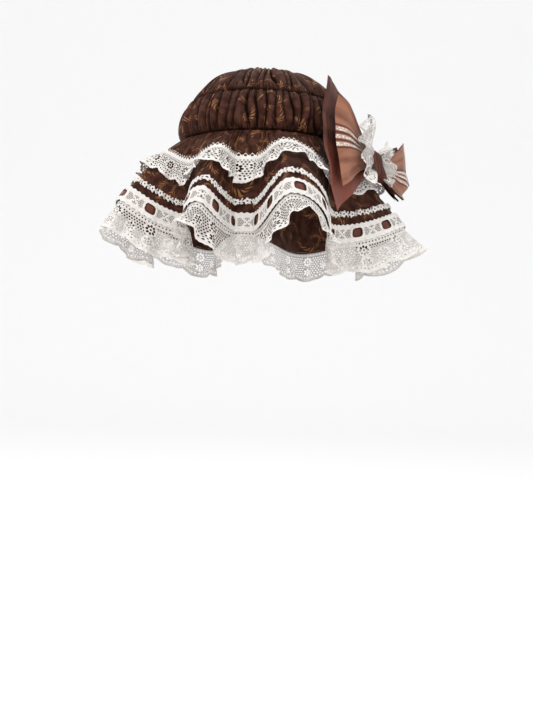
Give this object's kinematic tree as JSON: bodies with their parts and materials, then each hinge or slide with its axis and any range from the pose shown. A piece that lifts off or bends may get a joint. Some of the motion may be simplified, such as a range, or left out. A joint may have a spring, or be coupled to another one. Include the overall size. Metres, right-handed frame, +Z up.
{
  "type": "baby mob cap",
  "caption": "Gathered cloth cap with a deep fluted brim, lace frills, ribbon-threaded beading along the hem and a layered satin bow on one side.",
  "frame": {"origin": "centre of the head opening, level with the lower shirred line where the brim starts", "axes": "+Z up out of the crown, -Y the front of the cap, +X towards the side that carries the bow"},
  "size_m": [0.3133, 0.3668, 0.2043],
  "materials": {
    "brown_jacquard": "dark brown woven jacquard with a copper scroll figure and a slight sheen",
    "ribbon_satin": "brown satin ribbon",
    "dark_satin": "dark chocolate satin ribbon with rust highlights",
    "pale_satin": "copper tan satin ribbon with light and dark stripes",
    "ivory_lace": "matt off-white cotton lace"
  },
  "bodies": {
    "root": {"crown": "brown_jacquard", "brim": "brown_jacquard", "beading_ribbon": "ribbon_satin", "beading_lace": "ivory_lace", "flower_braid": "ivory_lace", "lower_lace": "ivory_lace", "upper_lace": "ivory_lace", "bow_back": "dark_satin", "bow_front": "pale_satin", "bow_lace": "ivory_lace", "bow_knot": "dark_satin"}
  },
  "joints": []
}
